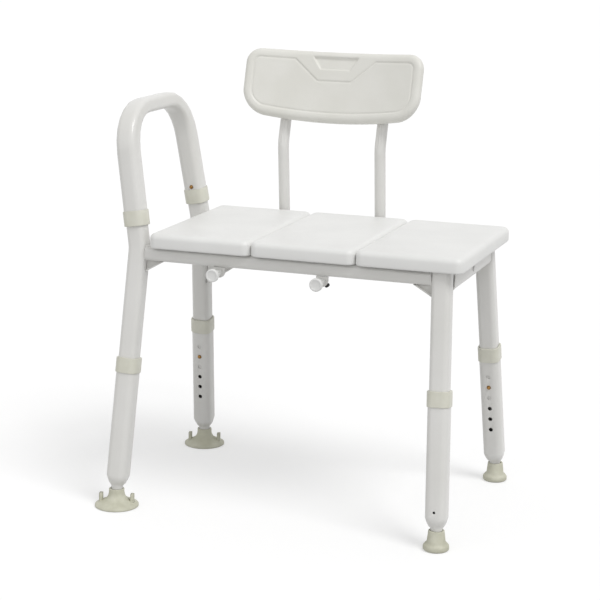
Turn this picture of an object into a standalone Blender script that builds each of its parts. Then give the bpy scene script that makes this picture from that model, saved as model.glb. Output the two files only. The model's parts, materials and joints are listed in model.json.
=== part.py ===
"""Bath transfer bench: a three-panel seat on a tube frame with telescoping legs, an armrest loop over one end
and a lift-out backrest. Metres, +X towards the end without the arm, +Y to the rear, +Z up, floor at z = 0."""

import math

import bmesh
import bpy
from mathutils import Matrix, Vector

# Seat
SEAT_LENGTH = 0.589
SEAT_DEPTH = 0.342
SEAT_TOP = 0.512
PANEL_COUNT = 3
PANEL_GAP = 0.0012
PANEL_HEIGHT = 0.0275
PANEL_WALL = 0.004
PANEL_SKIN = 0.005
PANEL_CORNER_RADIUS = 0.015
PANEL_EDGE_RADIUS = 0.010
PANEL_RIB = 0.004
POCKET_COLUMNS = 3
POCKET_ROWS = 5

# Tubes
OUTER_TUBE = 0.038
TUBE_CORNER = 0.011
TUBE_WALL = 0.0015
SLIDE_CLEARANCE = 0.0003
RAIL_TUBE = 0.027
RAIL_CORNER = 0.009
CROSS_TUBE_DROP = 0.0085

# Legs: the foot's place on the floor, and how far the leg leans in for each metre of height
LEFT_FOOT_X = -SEAT_LENGTH / 2 - 0.0505
RIGHT_FOOT_X = SEAT_LENGTH / 2 - 0.0205
FOOT_Y = SEAT_DEPTH / 2 + 0.0405
LEAN_X = 0.045
LEAN_Y = 0.1434
LOWER_LEG_TOP = 0.2745
UPPER_LEG_BOTTOM = 0.160
TAPER_TOP = 0.058
SHOULDER_HEIGHT = 0.0495
SHOULDER_SIDE = 0.0350
WAIST_HEIGHT = 0.0430
WAIST_SIDE = 0.0285
WAIST_ROUNDING = 0.42
NECK_TOP = 0.039
NECK_DIAMETER = 0.022
FOOT_BORE_TOP = 0.048
NECK_BOTTOM = 0.0115
HOLE_COUNT = 6
HOLE_PITCH = 0.022
HOLE_DIAMETER = 0.0082
BUTTON_HEIGHT = 0.199
DRAIN_HEIGHT = 0.068
DRAIN_DIAMETER = 0.005

# Collars at the mouths of the sliding tubes
COLLAR_WALL = 0.002
COLLAR_HEIGHT = 0.028
COLLAR_LIP = 0.003

# Snap buttons and their leaf springs
BUTTON_DIAMETER = 0.0074
BUTTON_FLANGE = 0.011
BUTTON_FLANGE_THICKNESS = 0.0015
BUTTON_STAND = 0.003
SPRING_WIDTH = 0.008
SPRING_THICKNESS = 0.0008
SPRING_LENGTH = 0.036

# Feet
SUCTION_DIAMETER = 0.082
SUCTION_TOP = 0.0335
TIP_DIAMETER = 0.0465
TIP_TOP = 0.0355
FOOT_WALL = 0.0032
TAB_COUNT = 2
RELEASE_TAB_HEIGHT = 0.0235
RELEASE_TAB_TURN_DEG = 14
RELEASE_TAB_WIDTH = 0.011
RELEASE_TAB_THICKNESS = 0.006
RELEASE_TAB_RADIUS = 0.0265

# Armrest
ARM_BEND_HEIGHT = SEAT_TOP - 0.032
ARM_LEAN_X = -0.15
ARM_LEAN_Y = 0.07
ARM_TOP_THICKNESS = 0.029
ARM_TOP = SEAT_TOP + 0.215
ARM_BEND_RADIUS = 0.082
ARM_TUBE_BOTTOM = SEAT_TOP + 0.0105
ARM_COLLAR_TOP = SEAT_TOP + 0.0345
ARM_BUTTON_HEIGHT = SEAT_TOP + 0.040
SPIGOT_TOP = SEAT_TOP + 0.073
UPRIGHT_BEND_RADIUS = 0.090

# Backrest
POST_DIAMETER = 0.0215
POST_SPACING = 0.197
BACKREST_X = -0.064
POST_Y = SEAT_DEPTH / 2 + 0.017
POST_BOTTOM = SEAT_TOP - 0.0775
POST_FIRST_BEND = SEAT_TOP - 0.007
POST_SECOND_BEND = SEAT_TOP + 0.128
POST_TOP = SEAT_TOP + 0.280
POST_FORWARD_DEG = 4.5
BACKREST_LEAN_DEG = 17.0
POST_BEND_RADIUS = 0.060
BACKREST_WIDTH = 0.357
BACKREST_HEIGHT = 0.138
BACKREST_THICKNESS = 0.022
BACKREST_SAG = 0.022
BACKREST_TOP_RADIUS = 0.030
BACKREST_BOTTOM_RADIUS = 0.044
BACKREST_BOW = 0.0125
BACKREST_CROWN = 0.001
BACKREST_MIDDLE = SEAT_TOP + 0.2332
GRIP_TOP_WIDTH = 0.100
GRIP_BOTTOM_WIDTH = 0.060
GRIP_HEIGHT = 0.028
GRIP_DEPTH = 0.005
GRIP_BELOW_TOP = 0.0095
SCREW_SHANK = 0.005
SCREW_HEAD = 0.011
SCREW_SPACING = 0.050
SCREW_DEPTH = 0.0099
SCREW_TIP_ROOM = 0.0013

# Post sockets, clamp knobs and tabs
SOCKET_WALL = 0.0022
SOCKET_TOP = SEAT_TOP - 0.029
SOCKET_FLOOR = 0.003
WEB_WIDTH = 0.016
WEB_BOTTOM = SEAT_TOP - 0.052
CLAMP_DROP = 0.0095
CLAMP_SCREW = 0.008
BOSS_DIAMETER = 0.015
BOSS_LENGTH = 0.007
KNOB_DIAMETER = 0.0238
KNOB_THICKNESS = 0.007
KNOB_NECK = 0.013
KNOB_STAND = 0.029
TAB_WIDTH = 0.022
TAB_THICKNESS = 0.004
TAB_OUTWARD = 0.006
CLAMP_SCREW_END = 0.016
STOP_DIAMETER = 0.007
STOP_LENGTH = 0.010

# Corner gussets
GUSSET_THICKNESS = 0.003
GUSSET_FLANGE = 0.012
GUSSET_LENGTH = 0.034
GUSSET_DROP = 0.020
TALL_GUSSET_LENGTH = 0.150
TALL_GUSSET_DROP = 0.104

# Clearance between pieces that touch, and between a pin and its hole
GAP = 0.0003
CORNER_STEPS = 3
ROUND_SIDES = 24

UPPER_TUBE = OUTER_TUBE - 2 * TUBE_WALL - 2 * SLIDE_CLEARANCE
UPPER_CORNER = TUBE_CORNER - TUBE_WALL - SLIDE_CLEARANCE
PANEL_BOTTOM = SEAT_TOP - PANEL_HEIGHT
RAIL_Z = PANEL_BOTTOM - GAP - RAIL_TUBE / 2
CROSS_Z = RAIL_Z - CROSS_TUBE_DROP
RAIL_Y = FOOT_Y - LEAN_Y * RAIL_Z
RAIL_BOTTOM = RAIL_Z - RAIL_TUBE / 2
TAB_Y = -RAIL_Y - TAB_OUTWARD
CLAMP_HEIGHT = RAIL_BOTTOM - CLAMP_DROP
ENDS = {"left": -1, "right": 1}
SIDES = {"front": -1, "rear": 1}
CORNERS = [(side, end) for end in ENDS for side in SIDES]
POST_X = {"left": BACKREST_X - POST_SPACING / 2, "right": BACKREST_X + POST_SPACING / 2}


def make_material(name, colour, roughness, metallic=0.0):
    material = bpy.data.materials.new(name)
    material.use_nodes = True
    shader = material.node_tree.nodes["Principled BSDF"]
    shader.inputs["Base Color"].default_value = (*colour, 1.0)
    shader.inputs["Roughness"].default_value = roughness
    shader.inputs["Metallic"].default_value = metallic
    return material


def make_object(name, mesh_data, material, smooth=True):
    """An object from a bmesh, with its origin at the middle of its box."""
    bmesh.ops.recalc_face_normals(mesh_data, faces=mesh_data.faces)
    low = Vector([min(v.co[i] for v in mesh_data.verts) for i in range(3)])
    high = Vector([max(v.co[i] for v in mesh_data.verts) for i in range(3)])
    middle = (low + high) / 2
    bmesh.ops.translate(mesh_data, verts=mesh_data.verts, vec=-middle)
    mesh = bpy.data.meshes.new(name)
    mesh_data.to_mesh(mesh)
    mesh_data.free()
    mesh.materials.append(material)
    if smooth:
        mesh.shade_smooth()
        mesh.set_sharp_from_angle(angle=math.radians(35))
    result = bpy.data.objects.new(name, mesh)
    result.location = middle
    bpy.context.scene.collection.objects.link(result)
    return result


def rounded_square(side, radius):
    """Points round a square with rounded corners; a radius of half the side gives nearly a circle."""
    half = side / 2
    radius = min(radius, half * 0.98)
    points = []
    for corner in range(4):
        start = corner * math.pi / 2
        centre = Vector((half - radius, half - radius)).to_3d()
        centre.rotate(Matrix.Rotation(start, 3, "Z"))
        for step in range(CORNER_STEPS + 1):
            angle = start + step * math.pi / 2 / CORNER_STEPS
            points.append((centre.x + radius * math.cos(angle), centre.y + radius * math.sin(angle)))
    return points


def circle(diameter, sides=ROUND_SIDES):
    turn = 2 * math.pi / sides
    return [(diameter / 2 * math.cos(i * turn), diameter / 2 * math.sin(i * turn)) for i in range(sides)]


def placed(section, centre, first, second):
    """A section's points in space, along two axes from a centre."""
    return [centre + first * a + second * b for a, b in section]


def skin(mesh_data, rings, closed):
    """Faces between rings of equally many points. Closed joins the last ring to the first, as in a tube's wall;
    open closes each end with one face."""
    made = [[mesh_data.verts.new(point) for point in ring] for ring in rings]
    pairs = list(zip(made, made[1:]))
    if closed:
        pairs.append((made[-1], made[0]))
    for low, high in pairs:
        for i in range(len(low)):
            j = (i + 1) % len(low)
            mesh_data.faces.new((low[i], low[j], high[j], high[i]))
    if not closed:
        mesh_data.faces.new(made[0])
        mesh_data.faces.new(made[-1])


def solid_of_rings(name, rings, material, closed=False, smooth=True):
    mesh_data = bmesh.new()
    skin(mesh_data, rings, closed)
    return make_object(name, mesh_data, material, smooth)


def filleted_path(points, radius, steps=5):
    """Places and directions along straight runs joined by arcs of one radius."""
    path = [(points[0], (points[1] - points[0]).normalized())]
    for before, corner, after in zip(points, points[1:], points[2:]):
        incoming = (corner - before).normalized()
        outgoing = (after - corner).normalized()
        turn = incoming.angle(outgoing)
        axis = incoming.cross(outgoing).normalized()
        start = corner - incoming * radius * math.tan(turn / 2)
        inward = axis.cross(incoming)
        for step in range(steps + 1):
            spin = Matrix.Rotation(turn * step / steps, 3, axis)
            path.append((start + inward * radius - (spin @ inward) * radius, spin @ incoming))
    path.append((points[-1], (points[-1] - points[-2]).normalized()))
    return path


def swept(name, path, reference, outside, inside, material, squeeze=None):
    """A section carried along a path. Its first axis is the reference, squared up to the path. Squeeze gives the
    share of its second axis that is left at each place."""
    outer = []
    inner = []
    for number, (place, along) in enumerate(path):
        first = (reference - along * reference.dot(along)).normalized()
        second = along.cross(first) * (squeeze[number] if squeeze else 1)
        outer.append(placed(outside, place, first, second))
        if inside:
            inner.append(placed(inside, place, first, second))
    return solid_of_rings(name, outer + inner[::-1], material, closed=bool(inside))


def turned(name, profile, base, axis, material, sides=ROUND_SIDES):
    """A profile of (radius, height) turned about an axis through base; it starts and ends on the axis."""
    axis = axis.normalized()
    first = axis.orthogonal().normalized()
    second = axis.cross(first)
    mesh_data = bmesh.new()
    rings = [placed(circle(2 * r, sides), base + axis * h, first, second) for r, h in profile[1:-1]]
    made = [[mesh_data.verts.new(point) for point in ring] for ring in rings]
    for low, high in zip(made, made[1:]):
        for i in range(sides):
            j = (i + 1) % sides
            mesh_data.faces.new((low[i], low[j], high[j], high[i]))
    for ring, (_, height) in ((made[0], profile[0]), (made[-1], profile[-1])):
        middle = mesh_data.verts.new(base + axis * height)
        for i in range(sides):
            mesh_data.faces.new((ring[i], ring[(i + 1) % sides], middle))
    return make_object(name, mesh_data, material)


def block(name, low, high, material):
    mesh_data = bmesh.new()
    xs, ys, zs = zip(low, high)
    bottom = [Vector((x, y, zs[0])) for x, y in ((xs[0], ys[0]), (xs[1], ys[0]), (xs[1], ys[1]), (xs[0], ys[1]))]
    top = [Vector((point.x, point.y, zs[1])) for point in bottom]
    skin(mesh_data, [bottom, top], closed=False)
    return make_object(name, mesh_data, material, smooth=False)


def rod(name, start, end, diameter, material, sides=16):
    along = (end - start).normalized()
    first = along.orthogonal().normalized()
    second = along.cross(first)
    section = circle(diameter, sides)
    rings = [placed(section, start, first, second), placed(section, end, first, second)]
    return solid_of_rings(name, rings, material)


def cut(target, cutter, operation="DIFFERENCE"):
    """A Boolean that stays on the target; the other shape is kept as a hidden helper."""
    cutter.hide_render = True
    cutter.display_type = "WIRE"
    modifier = target.modifiers.new(cutter.name, "BOOLEAN")
    modifier.operation = operation
    modifier.object = cutter
    modifier.solver = "EXACT"


class Leg:
    """One corner's leg: its axis, and the section axes square to it."""

    def __init__(self, side, end):
        self.name = f"{side}_{end}"
        self.side = SIDES[side]
        self.end = ENDS[end]
        foot_x = LEFT_FOOT_X if self.end < 0 else RIGHT_FOOT_X
        self.foot = Vector((foot_x, self.side * FOOT_Y, 0))
        self.slope = Vector((-self.end * LEAN_X, -self.side * LEAN_Y, 1))
        self.up = self.slope.normalized()
        self.across, self.back = section_axes(self.up)
        self.inward = self.back * -self.side

    def at(self, height):
        return self.foot + self.slope * height

    def ring(self, height, section, square=True):
        if square:
            return placed(section, self.at(height), self.across, self.back)
        return placed(section, self.at(height), Vector((1, 0, 0)), Vector((0, 1, 0)))

    def inner_face_x(self, y, z):
        """X of the leg's face that looks along the seat, at one point of that face, one gap away from it."""
        on_face = self.at(z) - self.across * self.end * (UPPER_TUBE / 2 + GAP)
        normal = self.across
        return on_face.x - ((y - on_face.y) * normal.y + (z - on_face.z) * normal.z) / normal.x

    def inner_face_y(self, x, z):
        on_face = self.at(z) - self.back * self.side * (UPPER_TUBE / 2 + GAP)
        normal = self.back
        return on_face.y - ((x - on_face.x) * normal.x + (z - on_face.z) * normal.z) / normal.y


def section_axes(up):
    back = (Vector((0, 1, 0)) - up * up.y).normalized()
    return back.cross(up), back


def hole(target, centre, direction, diameter, reach, sides=12):
    cutter = rod(target.name + "_hole", centre, centre + direction * reach, diameter, STEEL, sides)
    cut(target, cutter)


def make_lower_leg(leg):
    """The outer tube of a leg, necked down to a round end for its foot, with the row of height holes."""
    outer = rounded_square(OUTER_TUBE, TUBE_CORNER)
    inner = rounded_square(OUTER_TUBE - 2 * TUBE_WALL, TUBE_CORNER - TUBE_WALL)
    neck = rounded_square(NECK_DIAMETER, NECK_DIAMETER / 2)
    neck_bore = rounded_square(NECK_DIAMETER - 2 * TUBE_WALL, NECK_DIAMETER / 2 - TUBE_WALL)
    steps = []
    for height, side in ((WAIST_HEIGHT, WAIST_SIDE), (SHOULDER_HEIGHT, SHOULDER_SIDE)):
        corner = side * WAIST_ROUNDING
        steps.append((height, rounded_square(side, corner), rounded_square(side - 2 * TUBE_WALL, corner - TUBE_WALL)))
    rings = [
        leg.ring(NECK_BOTTOM, neck, square=False),
        leg.ring(NECK_TOP, neck, square=False),
        *[leg.ring(height, outside) for height, outside, _ in steps],
        leg.ring(TAPER_TOP, outer),
        leg.ring(LOWER_LEG_TOP, outer),
        leg.ring(LOWER_LEG_TOP, inner),
        leg.ring(TAPER_TOP, inner),
        *[leg.ring(height, inside) for height, _, inside in steps[::-1]],
        leg.ring(NECK_TOP, neck_bore, square=False),
        leg.ring(NECK_BOTTOM, neck_bore, square=False),
    ]
    tube = solid_of_rings(f"{leg.name}_lower_leg", rings, WHITE_PAINT, closed=True)
    for index in range(HOLE_COUNT):
        centre = leg.at(BUTTON_HEIGHT) + leg.up * HOLE_PITCH * (1 - index)
        hole(tube, centre, leg.inward, HOLE_DIAMETER, OUTER_TUBE)
    if leg.end > 0:
        hole(tube, leg.at(DRAIN_HEIGHT), -leg.inward, DRAIN_DIAMETER, OUTER_TUBE)
    return tube


def make_collar(name, at, across, back, mouth, bottom_height, top_height, lip_on_top):
    """A sleeve over the mouth of an outer tube, with a lip that closes in on the inner tube."""
    outer_side = OUTER_TUBE + 2 * COLLAR_WALL
    bevel = COLLAR_WALL / 2
    outside = rounded_square(outer_side, TUBE_CORNER + COLLAR_WALL)
    eased = rounded_square(outer_side - 2 * bevel, TUBE_CORNER + COLLAR_WALL - bevel)
    wide = rounded_square(OUTER_TUBE + 2 * GAP, TUBE_CORNER + GAP)
    narrow = rounded_square(UPPER_TUBE + 2 * GAP, UPPER_CORNER + GAP)
    step = mouth + GAP if lip_on_top else mouth - GAP
    low_bore, high_bore = (wide, narrow) if lip_on_top else (narrow, wide)
    levels = [
        (bottom_height, eased),
        (bottom_height + bevel, outside),
        (top_height - bevel, outside),
        (top_height, eased),
        (top_height, high_bore),
        (step, high_bore),
        (step, low_bore),
        (bottom_height, low_bore),
    ]
    rings = [placed(section, at(height), across, back) for height, section in levels]
    return solid_of_rings(name, rings, IVORY, closed=True)


def make_button(name, centre, outward):
    """A snap button: a flange inside the inner tube and a domed pin out through both walls."""
    inside = UPPER_TUBE / 2 - TUBE_WALL - GAP
    tip = OUTER_TUBE / 2 + BUTTON_STAND
    pin = BUTTON_DIAMETER / 2
    profile = [
        (0, inside - BUTTON_FLANGE_THICKNESS),
        (BUTTON_FLANGE / 2, inside - BUTTON_FLANGE_THICKNESS),
        (BUTTON_FLANGE / 2, inside),
        (pin, inside),
        (pin, tip - 0.0015),
        (pin * 0.75, tip - 0.0004),
        (0, tip),
    ]
    return turned(name, profile, centre, outward, BRASS, sides=12)


def make_spring(name, centre, outward, along):
    """A V-shaped leaf spring: one leg behind the button's flange, the other on the tube's far wall."""
    wall = UPPER_TUBE / 2 - TUBE_WALL - GAP
    near = wall - BUTTON_FLANGE_THICKNESS - GAP
    across = outward.cross(along).normalized()
    foot = BUTTON_FLANGE / 2
    line = [
        (foot, near),
        (-foot, near),
        (-SPRING_LENGTH, 0.0012),
        (-SPRING_LENGTH, -0.0012),
        (-foot, -wall + SPRING_THICKNESS),
        (foot, -wall + SPRING_THICKNESS),
    ]
    inner = [(s, d - math.copysign(SPRING_THICKNESS, d)) for s, d in line]
    inner[2] = (line[2][0] + 2 * SPRING_THICKNESS, SPRING_THICKNESS / 4)
    inner[3] = (line[3][0] + 2 * SPRING_THICKNESS, -SPRING_THICKNESS / 4)
    outline = line + inner[::-1]
    rings = []
    for offset in (-SPRING_WIDTH / 2, SPRING_WIDTH / 2):
        rings.append([centre + along * s + outward * d + across * offset for s, d in outline])
    return solid_of_rings(name, rings, STEEL, smooth=False)


def make_foot(leg):
    """A flexible foot over the leg's neck: a suction cup at the arm end, a flared tip at the other."""
    middle = leg.at((NECK_BOTTOM + NECK_TOP) / 2)
    base = Vector((middle.x, middle.y, 0))
    sleeve = NECK_DIAMETER / 2 + GAP + FOOT_WALL
    if leg.end < 0:
        rim = SUCTION_DIAMETER / 2
        top = SUCTION_TOP
        profile = [
            (0, 0.0060), (rim * 0.55, 0.0050), (rim * 0.90, 0.0016), (rim * 0.97, 0.0), (rim, 0.0008),
            (rim * 0.99, 0.0036), (rim * 0.86, 0.0065), (rim * 0.64, 0.0105), (rim * 0.46, 0.0150),
            (sleeve + 0.0012, 0.0205), (sleeve, 0.0260), (sleeve, top - 0.001), (sleeve - 0.001, top), (0, top),
        ]
        name = f"{leg.name}_suction_foot"
    else:
        rim = TIP_DIAMETER / 2
        top = TIP_TOP
        profile = [
            (0, 0.0), (rim - 0.002, 0.0), (rim, 0.002), (rim, 0.0075), (rim - 0.002, 0.0105),
            (sleeve + 0.0022, 0.0150), (sleeve, top - 0.001), (sleeve - 0.001, top), (0, top),
        ]
        name = f"{leg.name}_rubber_tip"
    foot = turned(name, profile, base, Vector((0, 0, 1)), IVORY_RUBBER, sides=28)
    if leg.end < 0:
        for number in range(TAB_COUNT):
            turn = Matrix.Rotation(math.radians(RELEASE_TAB_TURN_DEG + number * 360 / TAB_COUNT), 3, "Z")
            tab_rings = []
            for height in (0.0015, RELEASE_TAB_HEIGHT):
                corners = []
                for radial, across in ((0, -1), (1, -1), (1, 1), (0, 1)):
                    reach = RELEASE_TAB_RADIUS + radial * RELEASE_TAB_THICKNESS
                    corner = Vector((reach, across * RELEASE_TAB_WIDTH / 2, height))
                    corners.append(base + turn @ corner)
                tab_rings.append(corners)
            tab = solid_of_rings(f"{name}_tab", tab_rings, IVORY_RUBBER, smooth=False)
            cut(foot, tab, "UNION")
    bore = rounded_square(NECK_DIAMETER + 2 * GAP, NECK_DIAMETER / 2 + GAP)
    rings = [leg.ring(height, bore, square=False) for height in (NECK_BOTTOM - 2 * GAP, FOOT_BORE_TOP)]
    cut(foot, solid_of_rings(f"{name}_bore", rings, IVORY_RUBBER))
    return foot


def make_upright(leg):
    """The inner tube of a left leg, which bends at seat level and goes on as a spigot for the armrest."""
    turns = [leg.at(UPPER_LEG_BOTTOM), leg.at(ARM_BEND_HEIGHT), arm_at(leg, SPIGOT_TOP)]
    path = filleted_path(turns, UPRIGHT_BEND_RADIUS)
    outer = rounded_square(UPPER_TUBE, UPPER_CORNER)
    inner = rounded_square(UPPER_TUBE - 2 * TUBE_WALL, UPPER_CORNER - TUBE_WALL)
    swapped_outer = [(b, -a) for a, b in outer]
    swapped_inner = [(b, -a) for a, b in inner]
    upright = swept(f"{leg.name}_upright", path, Vector((0, 1, 0)), swapped_outer, swapped_inner, WHITE_PAINT)
    hole(upright, leg.at(BUTTON_HEIGHT), leg.inward, HOLE_DIAMETER, OUTER_TUBE)
    button_place = arm_at(leg, ARM_BUTTON_HEIGHT)
    hole(upright, button_place, arm_inward(leg), HOLE_DIAMETER, OUTER_TUBE)
    return upright


def make_upper_leg(leg):
    outer = rounded_square(UPPER_TUBE, UPPER_CORNER)
    inner = rounded_square(UPPER_TUBE - 2 * TUBE_WALL, UPPER_CORNER - TUBE_WALL)
    top = PANEL_BOTTOM - GAP - UPPER_TUBE / 2 * (LEAN_X + LEAN_Y)
    rings = [leg.ring(UPPER_LEG_BOTTOM, outer), leg.ring(top, outer)]
    rings += [leg.ring(top, inner), leg.ring(UPPER_LEG_BOTTOM, inner)]
    tube = solid_of_rings(f"{leg.name}_upper_leg", rings, WHITE_PAINT, closed=True)
    hole(tube, leg.at(BUTTON_HEIGHT), leg.inward, HOLE_DIAMETER, OUTER_TUBE)
    return tube


def arm_slope(leg):
    return Vector((ARM_LEAN_X, -leg.side * ARM_LEAN_Y, 1))


def arm_at(leg, height):
    """A point on the armrest post's axis above one left leg."""
    return leg.at(ARM_BEND_HEIGHT) + arm_slope(leg) * (height - ARM_BEND_HEIGHT)


def arm_inward(leg):
    """Square to the armrest post, towards the other post."""
    return section_axes(arm_slope(leg).normalized())[1] * -leg.side


def make_armrest(front, rear):
    """The inverted-U loop, its two collars, and the buttons and springs in the spigots."""
    points = [
        arm_at(front, ARM_TUBE_BOTTOM), arm_at(front, ARM_TOP), arm_at(rear, ARM_TOP), arm_at(rear, ARM_TUBE_BOTTOM)
    ]
    path = filleted_path(points, ARM_BEND_RADIUS, steps=6)
    normal = (points[1] - points[0]).cross(points[2] - points[1]).normalized()
    flat = ARM_TOP_THICKNESS / OUTER_TUBE
    squeeze = []
    for _, along in path:
        turned_away = min(1, abs(along.y) / (0.9 * (1 - ARM_LEAN_Y)))
        squeeze.append(1 + (flat - 1) * turned_away**2)
    squeeze[0] = 1
    squeeze[-1] = 1
    outer = rounded_square(OUTER_TUBE, TUBE_CORNER)
    inner = rounded_square(OUTER_TUBE - 2 * TUBE_WALL, TUBE_CORNER - TUBE_WALL)
    loop = swept("armrest_loop", path, normal, outer, inner, WHITE_PAINT, squeeze)
    for leg in (front, rear):
        up = arm_slope(leg).normalized()
        across, back = section_axes(up)
        place = arm_at(leg, ARM_BUTTON_HEIGHT)
        hole(loop, place, arm_inward(leg), HOLE_DIAMETER, OUTER_TUBE)
        side = leg.name.split("_")[0]
        make_collar(
            f"{side}_armrest_collar", lambda height, leg=leg: arm_at(leg, height), across, back,
            ARM_TUBE_BOTTOM, ARM_COLLAR_TOP - COLLAR_HEIGHT + GAP, ARM_COLLAR_TOP, lip_on_top=False
        )
        make_button(f"{side}_armrest_button", place, arm_inward(leg))
        make_spring(f"{side}_armrest_spring", place, arm_inward(leg), up)


def make_rail(side):
    """A tube along the seat, from the left leg's face to the right leg's."""
    y = SIDES[side] * RAIL_Y
    section = rounded_square(RAIL_TUBE, RAIL_CORNER)
    bore = rounded_square(RAIL_TUBE - 2 * TUBE_WALL, RAIL_CORNER - TUBE_WALL)
    rings = []
    for end, shape in (("left", section), ("right", section), ("right", bore), ("left", bore)):
        leg = Leg(side, end)
        rings.append([Vector((leg.inner_face_x(y + a, RAIL_Z + b), y + a, RAIL_Z + b)) for a, b in shape])
    return solid_of_rings(f"{side}_rail", rings, WHITE_PAINT, closed=True)


def make_cross_tube(end):
    """A tube across one end of the frame, from the front leg's face to the rear leg's."""
    section = rounded_square(UPPER_TUBE, UPPER_CORNER)
    bore = rounded_square(UPPER_TUBE - 2 * TUBE_WALL, UPPER_CORNER - TUBE_WALL)
    x = Leg("front", end).at(CROSS_Z).x
    rings = []
    for side, shape in (("front", section), ("rear", section), ("rear", bore), ("front", bore)):
        leg = Leg(side, end)
        rings.append([Vector((x + a, leg.inner_face_y(x + a, CROSS_Z + b), CROSS_Z + b)) for a, b in shape])
    return solid_of_rings(f"{end}_cross_tube", rings, WHITE_PAINT, closed=True)


def make_gusset(leg, length, drop):
    """A triangular plate in the corner under a rail, with a flange along its sloping edge."""
    top = RAIL_BOTTOM - GAP
    y = leg.at(top).y

    def at_leg(height):
        return Vector((leg.inner_face_x(y, height), y, height))

    corner = at_leg(top)
    low = at_leg(top - drop)
    far = corner + Vector((-leg.end * length, 0, 0))
    edge = (far - low).normalized()
    inset = Vector((edge.z, 0, -edge.x)) * leg.end * GUSSET_THICKNESS
    lean = (corner - low).normalized()
    inner_low = low + inset
    inner_low += edge * (lean.cross(inner_low - low).y / -lean.cross(edge).y)
    inner_far = far + inset
    inner_far += edge * ((top - inner_far.z) / edge.z)
    plate = gusset_prism(f"{leg.name}_gusset", [corner, far, low], GUSSET_THICKNESS)
    flange = gusset_prism(f"{leg.name}_gusset_flange", [far, low, inner_low, inner_far], GUSSET_FLANGE)
    cut(plate, flange, "UNION")
    return plate


def gusset_prism(name, points, thickness):
    half = Vector((0, thickness / 2, 0))
    rings = [[point - half for point in points], [point + half for point in points]]
    return solid_of_rings(name, rings, WHITE_PAINT, smooth=False)


def rounded_outline(half_x, half_y, radius, steps=4):
    points = []
    for corner, (sx, sy) in enumerate(((1, 1), (-1, 1), (-1, -1), (1, -1))):
        for step in range(steps + 1):
            angle = (corner + step / steps) * math.pi / 2
            x = sx * (half_x - radius) + radius * math.cos(angle)
            y = sy * (half_y - radius) + radius * math.sin(angle)
            points.append((x, y))
    return points


def make_seat_panel(index):
    """A moulded tray, open underneath, whose ribs stand on the rails."""
    width = (SEAT_LENGTH - PANEL_GAP * (PANEL_COUNT - 1)) / PANEL_COUNT
    centre_x = -SEAT_LENGTH / 2 + width / 2 + index * (width + PANEL_GAP)
    levels = [(0.0, PANEL_BOTTOM), (0.0, SEAT_TOP - PANEL_EDGE_RADIUS)]
    for degrees in (30, 60, 90):
        angle = math.radians(degrees)
        inset = PANEL_EDGE_RADIUS * (1 - math.cos(angle))
        levels.append((inset, SEAT_TOP - PANEL_EDGE_RADIUS * (1 - math.sin(angle))))
    rings = []
    for inset, height in levels:
        outline = rounded_outline(width / 2 - inset, SEAT_DEPTH / 2 - inset, PANEL_CORNER_RADIUS - inset)
        rings.append([Vector((centre_x + x, y, height)) for x, y in outline])
    panel = solid_of_rings(f"seat_panel_{index + 1}", rings, WHITE_PLASTIC)
    pitch_x = (width - 2 * PANEL_WALL + PANEL_RIB) / POCKET_COLUMNS
    pitch_y = (SEAT_DEPTH - 2 * PANEL_WALL + PANEL_RIB) / POCKET_ROWS
    for column in range(POCKET_COLUMNS):
        for row in range(POCKET_ROWS):
            x = centre_x - width / 2 + PANEL_WALL + column * pitch_x
            y = -SEAT_DEPTH / 2 + PANEL_WALL + row * pitch_y
            pocket = block(
                panel.name + "_pocket",
                (x, y, PANEL_BOTTOM - PANEL_HEIGHT),
                (x + pitch_x - PANEL_RIB, y + pitch_y - PANEL_RIB, SEAT_TOP - PANEL_SKIN),
                WHITE_PLASTIC,
            )
            cut(panel, pocket)
    return panel


def backrest_axes():
    """The panel's own up and back directions."""
    lean = math.radians(BACKREST_LEAN_DEG)
    up = Vector((0, math.sin(lean), math.cos(lean)))
    back = Vector((0, math.cos(lean), -math.sin(lean)))
    return up, back


def post_path(x):
    """From the socket's floor: straight up, a little forward, then back along the panel."""
    forward = math.radians(POST_FORWARD_DEG)
    lean = math.radians(BACKREST_LEAN_DEG)
    bottom = Vector((x, POST_Y, POST_BOTTOM))
    first = Vector((x, POST_Y, POST_FIRST_BEND))
    rise = POST_SECOND_BEND - POST_FIRST_BEND
    second = first + Vector((0, -rise * math.tan(forward), rise))
    rise = POST_TOP - POST_SECOND_BEND
    top = second + Vector((0, rise * math.tan(lean), rise))
    return bottom, first, second, top


def sag_at(offset):
    return BACKREST_SAG * (2 * offset / BACKREST_WIDTH) ** 2


def backrest_middle():
    """The panel's centre: its back bears on the fronts of the posts, one gap away."""
    _, _, second, _ = post_path(0)
    up, back = backrest_axes()
    on_post = second + up * (BACKREST_MIDDLE - second.z) / up.z
    reach = POST_DIAMETER / 2 + GAP + BACKREST_THICKNESS / 2
    contact = POST_SPACING / 2 - POST_DIAMETER / 2
    return Vector((BACKREST_X, on_post.y, on_post.z)) - back * (reach - sag_at(contact))


def backrest_edges(offset):
    """The heights of the panel's top and bottom edges above its centre, at one distance along it."""
    half = BACKREST_WIDTH / 2
    along = abs(offset)
    tops = BACKREST_HEIGHT / 2 - BACKREST_CROWN * (along / half) ** 2
    bottoms = -BACKREST_HEIGHT / 2 + BACKREST_BOW * (along / half) ** 2
    into_top = max(0.0, along - (half - BACKREST_TOP_RADIUS))
    into_bottom = max(0.0, along - (half - BACKREST_BOTTOM_RADIUS))
    top = tops - BACKREST_TOP_RADIUS + math.sqrt(max(0.0, BACKREST_TOP_RADIUS**2 - into_top**2))
    bottom = bottoms + BACKREST_BOTTOM_RADIUS - math.sqrt(max(0.0, BACKREST_BOTTOM_RADIUS**2 - into_bottom**2))
    return top, bottom


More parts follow.
